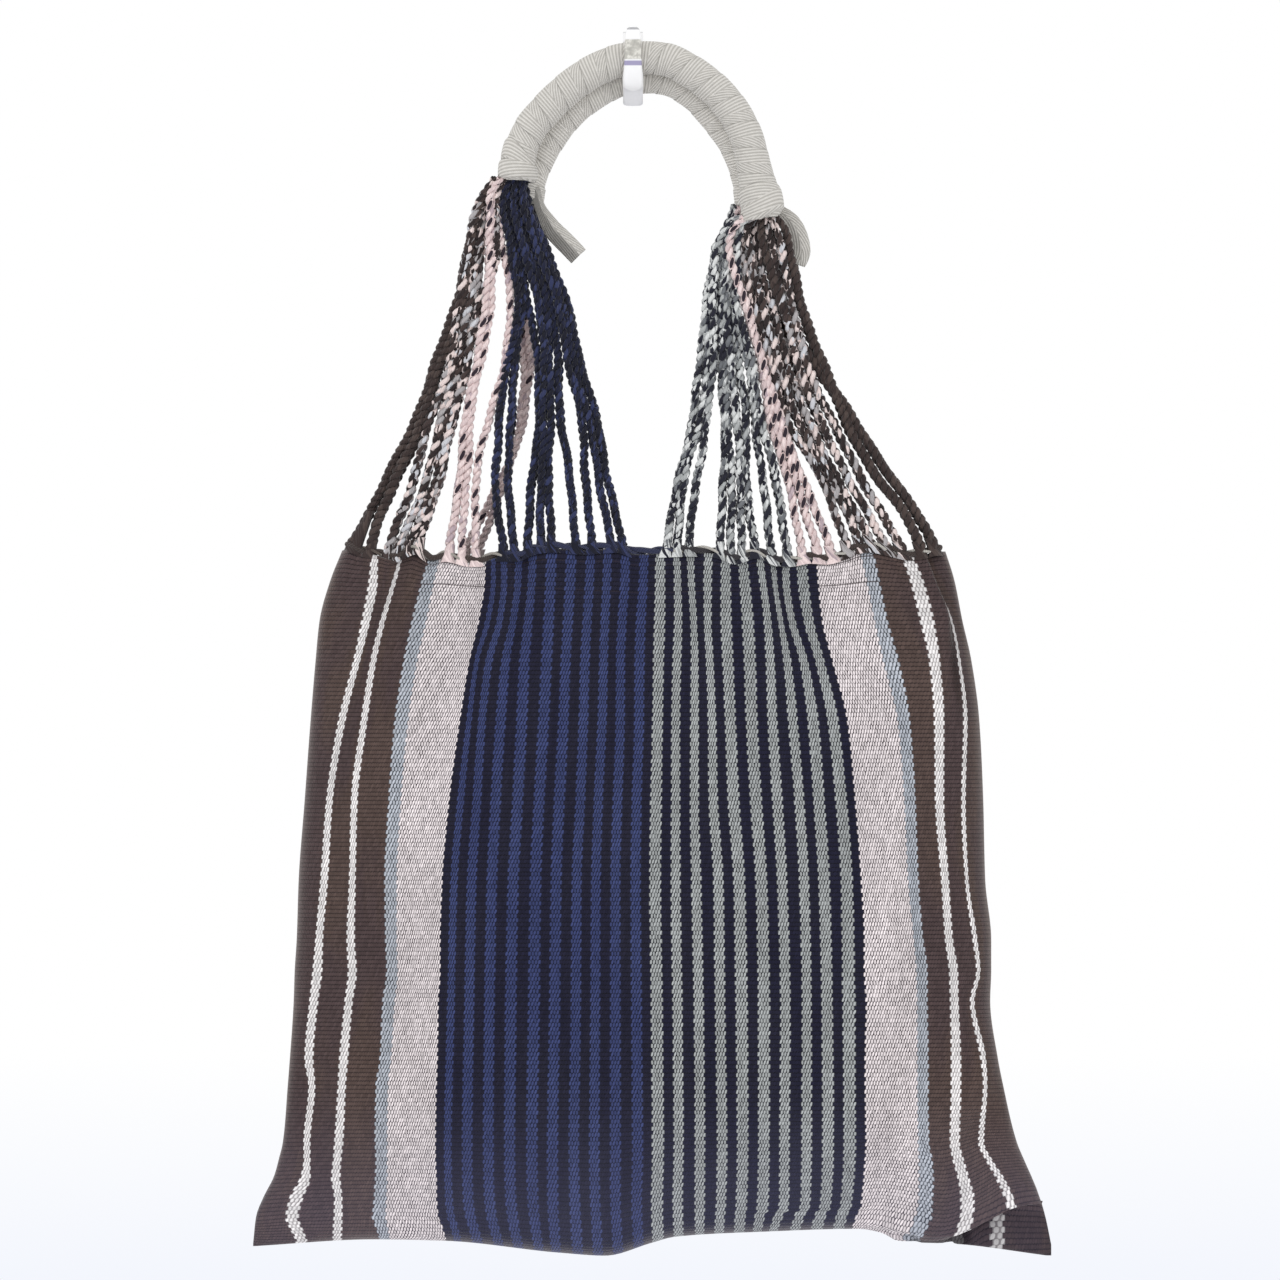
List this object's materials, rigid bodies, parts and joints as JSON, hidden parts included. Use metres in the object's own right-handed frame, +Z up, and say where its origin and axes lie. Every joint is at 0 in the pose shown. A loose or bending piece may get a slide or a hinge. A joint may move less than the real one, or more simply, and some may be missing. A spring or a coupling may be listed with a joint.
{
  "type": "woven hammock bag on a wall hook",
  "caption": "Striped woven bag with an open mouth, twisted cord fans and two tape-wound handles, hanging from a bent strap wall hook.",
  "frame": {"origin": "on the flat back of the hook, where it lies against the wall, level with the grips in the hook", "axes": "+X along the wall to the right as seen from the front, +Y into the wall, +Z up; the bag's front faces -Y"},
  "size_m": [0.4005, 0.0565, 0.6177],
  "materials": {
    "cloth": "warp-faced weave with stripes in brown, cream, pink, blue, black and light grey",
    "edge_yarn": "dark brown and cream yarn twined along the mouth",
    "cord_brown": "twisted brown cotton cord",
    "cord_mixed": "twisted cord speckled brown, cream and grey",
    "cord_pink": "twisted pale pink cord with dark specks",
    "cord_navy": "twisted navy cotton cord",
    "cord_grey": "twisted cord speckled light grey and black",
    "tape": "light grey herringbone cotton tape",
    "hook_metal": "polished"
  },
  "bodies": {
    "root": {"bag_cloth": "cloth", "edge_cord_front": "edge_yarn", "edge_cord_back": "edge_yarn", "handle_front": "tape", "handle_back": "tape", "tape_tail": "tape", "tape_flap": "tape", "hook": "hook_metal", "cords_front_left_brown": "cord_brown", "cords_front_left_mixed": "cord_mixed", "cords_front_left_pink": "cord_pink", "cords_front_left_navy": "cord_navy", "cords_front_right_brown": "cord_brown", "cords_front_right_mixed": "cord_mixed", "cords_front_right_pink": "cord_pink", "cords_front_right_grey": "cord_grey", "cords_back_left_brown": "cord_brown", "cords_back_left_mixed": "cord_mixed", "cords_back_left_pink": "cord_pink", "cords_back_left_navy": "cord_navy", "cords_back_right_brown": "cord_brown", "cords_back_right_mixed": "cord_mixed", "cords_back_right_pink": "cord_pink", "cords_back_right_grey": "cord_grey"}
  },
  "joints": []
}
